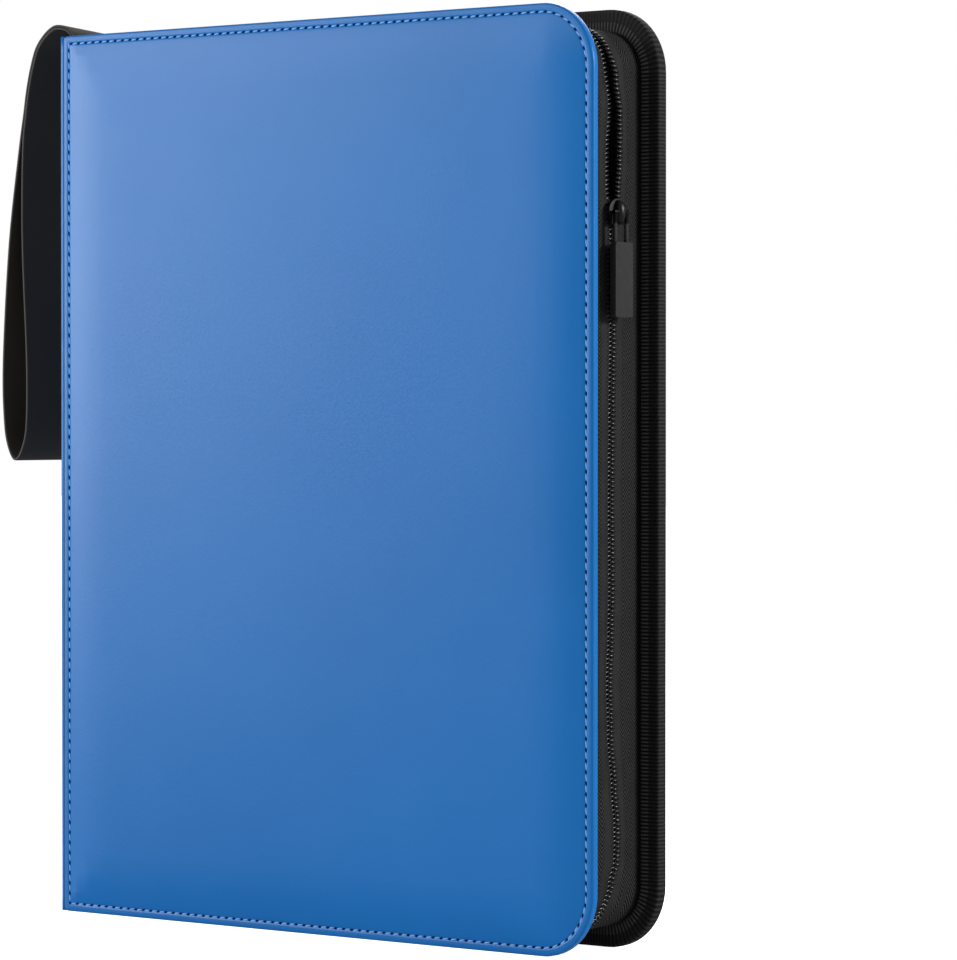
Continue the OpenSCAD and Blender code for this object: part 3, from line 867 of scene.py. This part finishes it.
# the strap's line as (x, z) in mm from the spine's outer face and the head of the case: the doubled
# stem out of the slit, and then the open loop
stem_line = [
    (1.65, 0.9), (1, 2.3), (-1.5, 4.1), (-5.2, 5), (-9, 4.7), (-13.7, 1.8),
    (-18, -3.6), (-21, -11.5), (-23.1, -20), (-24.6, -29),
]
loop_line = [
    (-27.8, -44), (-33, -80), (-36, -125), (-35.3, -150), (-33, -160.5), (-29.3, -165.2),
    (-25.3, -160.5), (-22.9, -150), (-22.9, -125), (-25.6, -80), (-25.7, -44),
]


def beside(line, off):
    """The line moved sideways."""
    shifted = []
    for i, point in enumerate(line):
        way = line[min(i + 1, len(line) - 1)] - line[max(i - 1, 0)]
        shifted.append(point + off * Vector((-way.y, way.x)).normalized())
    return shifted


def smooth_line(line, count):
    """Points of a smooth curve through a line, count to each stretch."""
    out = []
    for i in range(len(line) - 1):
        a = line[max(i - 1, 0)]
        b = line[i]
        c = line[i + 1]
        d = line[min(i + 2, len(line) - 1)]
        for j in range(count):
            t = j / count
            bend = 2 * a - 5 * b + 4 * c - d + t * (3 * b - a - 3 * c + d)
            out.append(b + t / 2 * (c - a + t * bend))
    return out + [line[-1]]


stem = [Vector(p) for p in stem_line]
layer_off = 0.52
whole = beside(stem, -layer_off) + [Vector(p) for p in loop_line] + beside(stem, layer_off)[::-1]
strap_path = smooth_line(whole, 6)
strap_low, strap_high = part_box("strap_loop")
spine_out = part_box("spine_skin")[0].x
bm = bmesh.new()
verts = [bm.verts.new((spine_out + p.x * MM, strap_low.y, case_head + p.y * MM)) for p in strap_path]
strip = [bm.edges.new(pair) for pair in zip(verts, verts[1:])]
strap_wide = strap_high.y - strap_low.y
for share in (0.015, 0.035, 0.2, 0.25, 0.25, 0.2, 0.035, 0.015):
    made = bmesh.ops.extrude_edge_only(bm, edges=strip)["geom"]
    moved = [v for v in made if isinstance(v, bmesh.types.BMVert)]
    bmesh.ops.translate(bm, verts=moved, vec=(0, strap_wide * share, 0))
    strip = [e for e in made if isinstance(e, bmesh.types.BMEdge)
             and e.verts[0] in moved and e.verts[1] in moved]
# the turn over the head slopes down towards the back, and the loop leans out as it hangs
for v in bm.verts:
    back_share = (v.co.y - strap_low.y) / strap_wide
    over = min(1, max(0, (v.co.z - case_head + 4 * MM) / (6 * MM)))
    v.co.z -= (0.7 + 2.2 * back_share) * MM * over
    hang = min(1, max(0, (case_head - v.co.z) / (140 * MM)))
    v.co.x -= 1.3 * MM * hang
    v.co.z -= 1.8 * MM * hang
bmesh.ops.recalc_face_normals(bm, faces=bm.faces[:])
strap_run = sum((b - a).length for a, b in zip(strap_path, strap_path[1:])) * MM
strap = new_piece("wrist_strap", bm, [strap_skin], 60)
thicken(strap, 0.8 * MM, 0)
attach(strap, "strap")
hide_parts("strap_loop")

# ---- Leaves ----
# Each leaf is a black backing sheet with nine clear film pockets welded to each face, and it is
# held by its edge in the strip on the spine.
backing = new_finish("leaf_backing", (0.013, 0.013, 0.014), 0.5)
colours_between(backing, noise_at(backing, 300, 3), (0.005, 0.005, 0.005), (0.009, 0.009, 0.010))
raise_bumps(backing, noise_at(backing, 1800, 3), 0.00004, 0.4)
film = new_finish("pocket_film", (0.75, 0.78, 0.80), 0.12, Alpha=0.10, Specular_IOR_Level=0.7)
raise_bumps(film, noise_at(film, 60, 2), 0.0006, 0.25)
leaf_w = 234 * MM
pocket_w = 68 * MM
pocket_h = 93 * MM
pocket_gap = 2.5 * MM
for i in range(1, 21):
    node = f"leaf_{i:02d}"
    low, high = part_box(node)
    y = (low.y + high.y) / 2
    left = high.x - leaf_w
    seam_x = left + leaf_w - 3 * (pocket_w + pocket_gap)
    seam_z = (high.z - low.z - 3 * pocket_h) / 4
    bm = bmesh.new()
    centre = Vector(((left + high.x) / 2, y, (low.z + high.z) / 2))
    bmesh.ops.create_cube(bm, size=1, matrix=Matrix.Translation(centre) @ Matrix.Diagonal(
        (high.x - left, 0.3 * MM, high.z - low.z, 1)))
    corners = [e for e in bm.edges if abs(e.verts[0].co.y - e.verts[1].co.y) > 0.1 * MM
               and e.verts[0].co.x > centre.x]
    bmesh.ops.bevel(bm, geom=corners, offset=4 * MM, offset_type="OFFSET", segments=5,
                    profile=0.5, affect="EDGES", material=-1)
    for c in range(3):
        for r in range(3):
            px = seam_x + c * (pocket_w + pocket_gap) + pocket_w / 2
            pz = low.z + seam_z + r * (pocket_h + seam_z) + pocket_h / 2
            for way in (-1, 1):
                place = Matrix.Translation((px, y + way * 0.2 * MM, pz)) @ Matrix.Rotation(
                    way * -math.pi / 2, 4, "X") @ Matrix.Diagonal((pocket_w, pocket_h, 1, 1))
                made = bmesh.ops.create_grid(bm, x_segments=1, y_segments=1, size=0.5, matrix=place)
                face = made["verts"][0].link_faces[0]
                face.material_index = 1
                rim = bmesh.ops.inset_region(bm, faces=[face], thickness=1.2 * MM, depth=0.08 * MM)
                for f in rim["faces"]:
                    f.material_index = 1
    obj = new_piece(f"page_{i:02d}", bm, [backing, film], 30)
    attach(obj, node)
    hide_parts(node)

# ---- Floor ----
# A pale floor that the case stands on. The camera sees it pure white, like the surroundings.
bm = bmesh.new()
bmesh.ops.create_grid(bm, x_segments=1, y_segments=1, size=6)
pale = new_finish("pale_floor", (0.9, 0.9, 0.9), 0.9)
tree = pale.node_tree
shader = tree.nodes["Principled BSDF"]
rays = tree.nodes.new("ShaderNodeLightPath")
shader.inputs["Emission Color"].default_value = (1, 1, 1, 1)
tree.links.new(rays.outputs["Is Camera Ray"], shader.inputs["Emission Strength"])
floor = new_piece("floor", bm, [pale])
floor.visible_glossy = False
